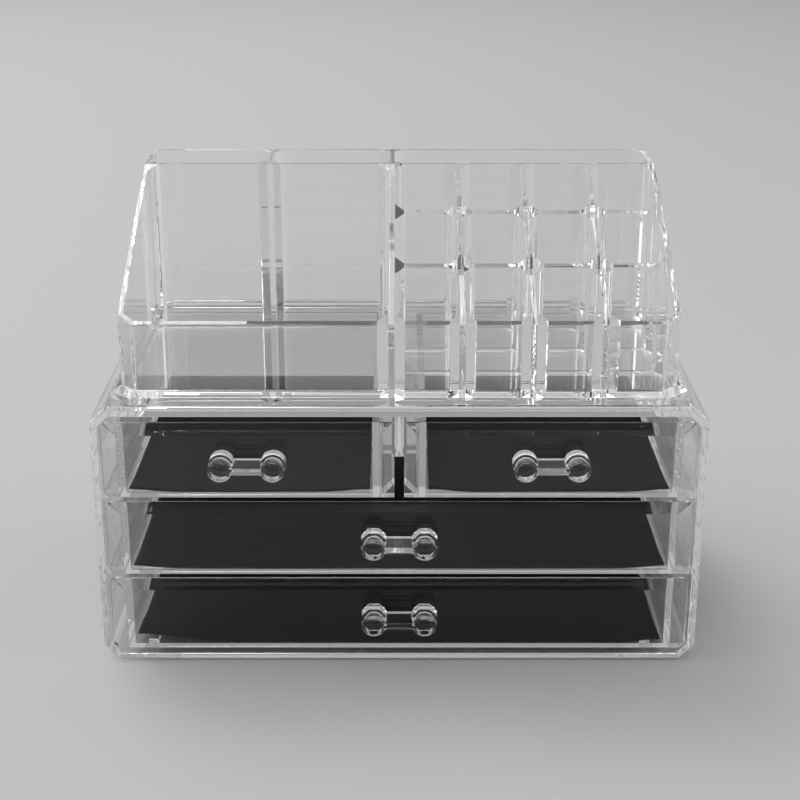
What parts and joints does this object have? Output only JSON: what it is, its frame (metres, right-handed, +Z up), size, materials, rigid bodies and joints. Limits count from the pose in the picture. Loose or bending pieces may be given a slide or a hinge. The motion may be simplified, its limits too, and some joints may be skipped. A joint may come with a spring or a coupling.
{
  "type": "makeup stand",
  "caption": "Clear plastic makeup stand: a case with sliding drawers lined with black mats, under a loose sloping tray with compartments for lipsticks, brushes and bottles.",
  "frame": {"origin": "middle of the stand's footprint, handles included, on the surface it stands on", "axes": "+X to the right seen from the front, +Y to the back, +Z up"},
  "size_m": [0.238, 0.1466, 0.1825],
  "materials": {
    "case_clear": "clear polished",
    "tray_clear": "clear polished",
    "drawer_clear": "clear polished",
    "handle_clear": "clear polished",
    "mat_black": "matte black"
  },
  "bodies": {
    "case": {"case_shell": "case_clear", "case_back": "case_clear", "guide_rib": "case_clear", "lower_shelf": "case_clear", "upper_shelf": "case_clear"},
    "tray": {"tray": "tray_clear"},
    "bottom_drawer": {"drawer_bottom": "drawer_clear", "handle_bottom": "handle_clear", "mat_bottom": "mat_black"},
    "middle_drawer": {"drawer_middle": "drawer_clear", "handle_middle": "handle_clear", "mat_middle": "mat_black"},
    "top_left_drawer": {"drawer_top_left": "drawer_clear", "handle_top_left": "handle_clear", "mat_top_left": "mat_black"},
    "top_right_drawer": {"drawer_top_right": "drawer_clear", "handle_top_right": "handle_clear", "mat_top_right": "mat_black"}
  },
  "joints": [
    {"name": "bottom_drawer_slide", "type": "slide", "parent": "case", "child": "bottom_drawer", "axis": [0, -1, 0], "range_m": [0, 0.11]},
    {"name": "middle_drawer_slide", "type": "slide", "parent": "case", "child": "middle_drawer", "axis": [0, -1, 0], "range_m": [0, 0.11]},
    {"name": "top_left_drawer_slide", "type": "slide", "parent": "case", "child": "top_left_drawer", "axis": [0, -1, 0], "range_m": [0, 0.11]},
    {"name": "top_right_drawer_slide", "type": "slide", "parent": "case", "child": "top_right_drawer", "axis": [0, -1, 0], "range_m": [0, 0.11]},
    {"name": "tray_lift", "type": "slide", "parent": "case", "child": "tray", "axis": [0, 0, 1], "range_m": [0, 0.08]}
  ]
}
